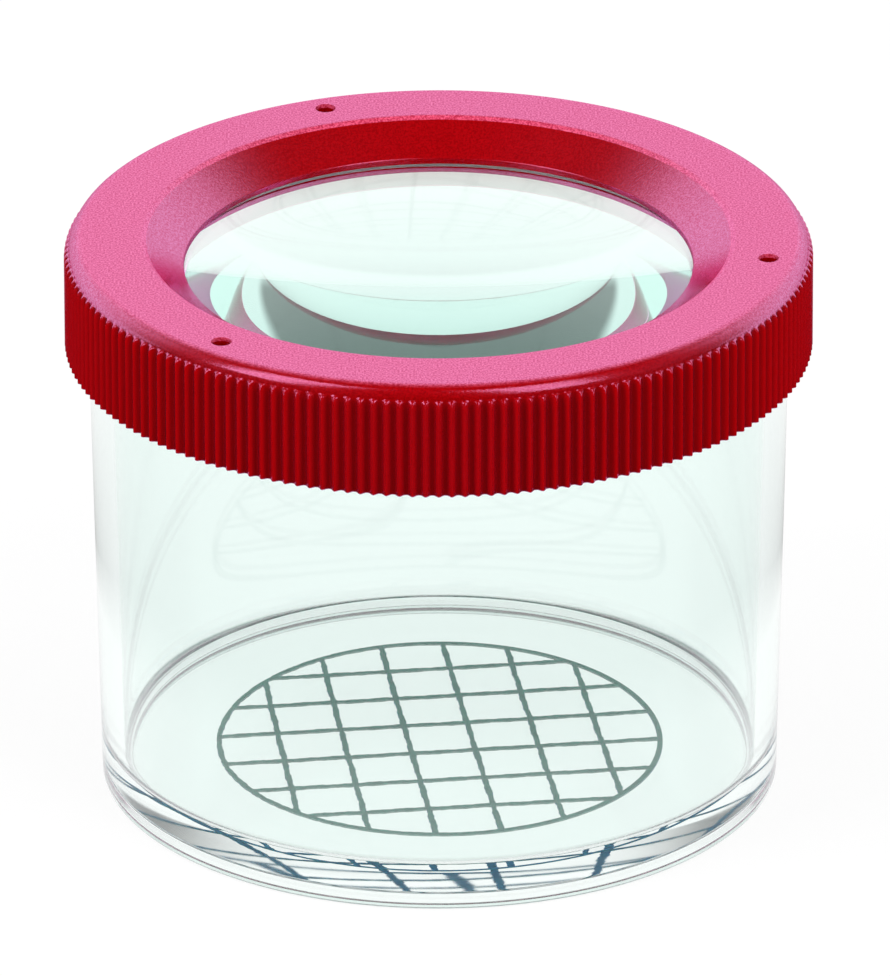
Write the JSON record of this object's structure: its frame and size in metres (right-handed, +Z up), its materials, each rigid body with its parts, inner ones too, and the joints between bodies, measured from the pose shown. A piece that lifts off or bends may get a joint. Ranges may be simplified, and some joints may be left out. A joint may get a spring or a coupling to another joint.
{
  "type": "bug catcher jar",
  "caption": "Clear tapered jar with a measuring grid under its floor and a red ribbed push-on lid that holds a magnifying lens and has air holes.",
  "frame": {"origin": "centre of the foot ring, on the surface that the jar stands on", "axes": "+Z up along the jar's axis; -Y is the side that the picture shows"},
  "size_m": [0.0581, 0.058, 0.0453],
  "materials": {
    "clear_jar": "clear moulded polystyrene, polished",
    "grid_ink": "dark printed ink",
    "red_lid": "red moulded plastic, satin gloss",
    "clear_lens": "clear acrylic, polished"
  },
  "bodies": {
    "jar": {"jar_body": "clear_jar", "measuring_grid": "grid_ink"},
    "lens": {"lens": "clear_lens"},
    "lid": {"lid_ring": "red_lid"}
  },
  "joints": [
    {"name": "lid_lift", "type": "slide", "parent": "jar", "child": "lens", "axis": [0, 0, 1], "range_m": [0, 0.03]},
    {"name": "lid_turn", "type": "hinge", "parent": "lens", "child": "lid", "pos_m": [0, 0, 0.041], "axis": [0, 0, 1], "continuous": true}
  ]
}
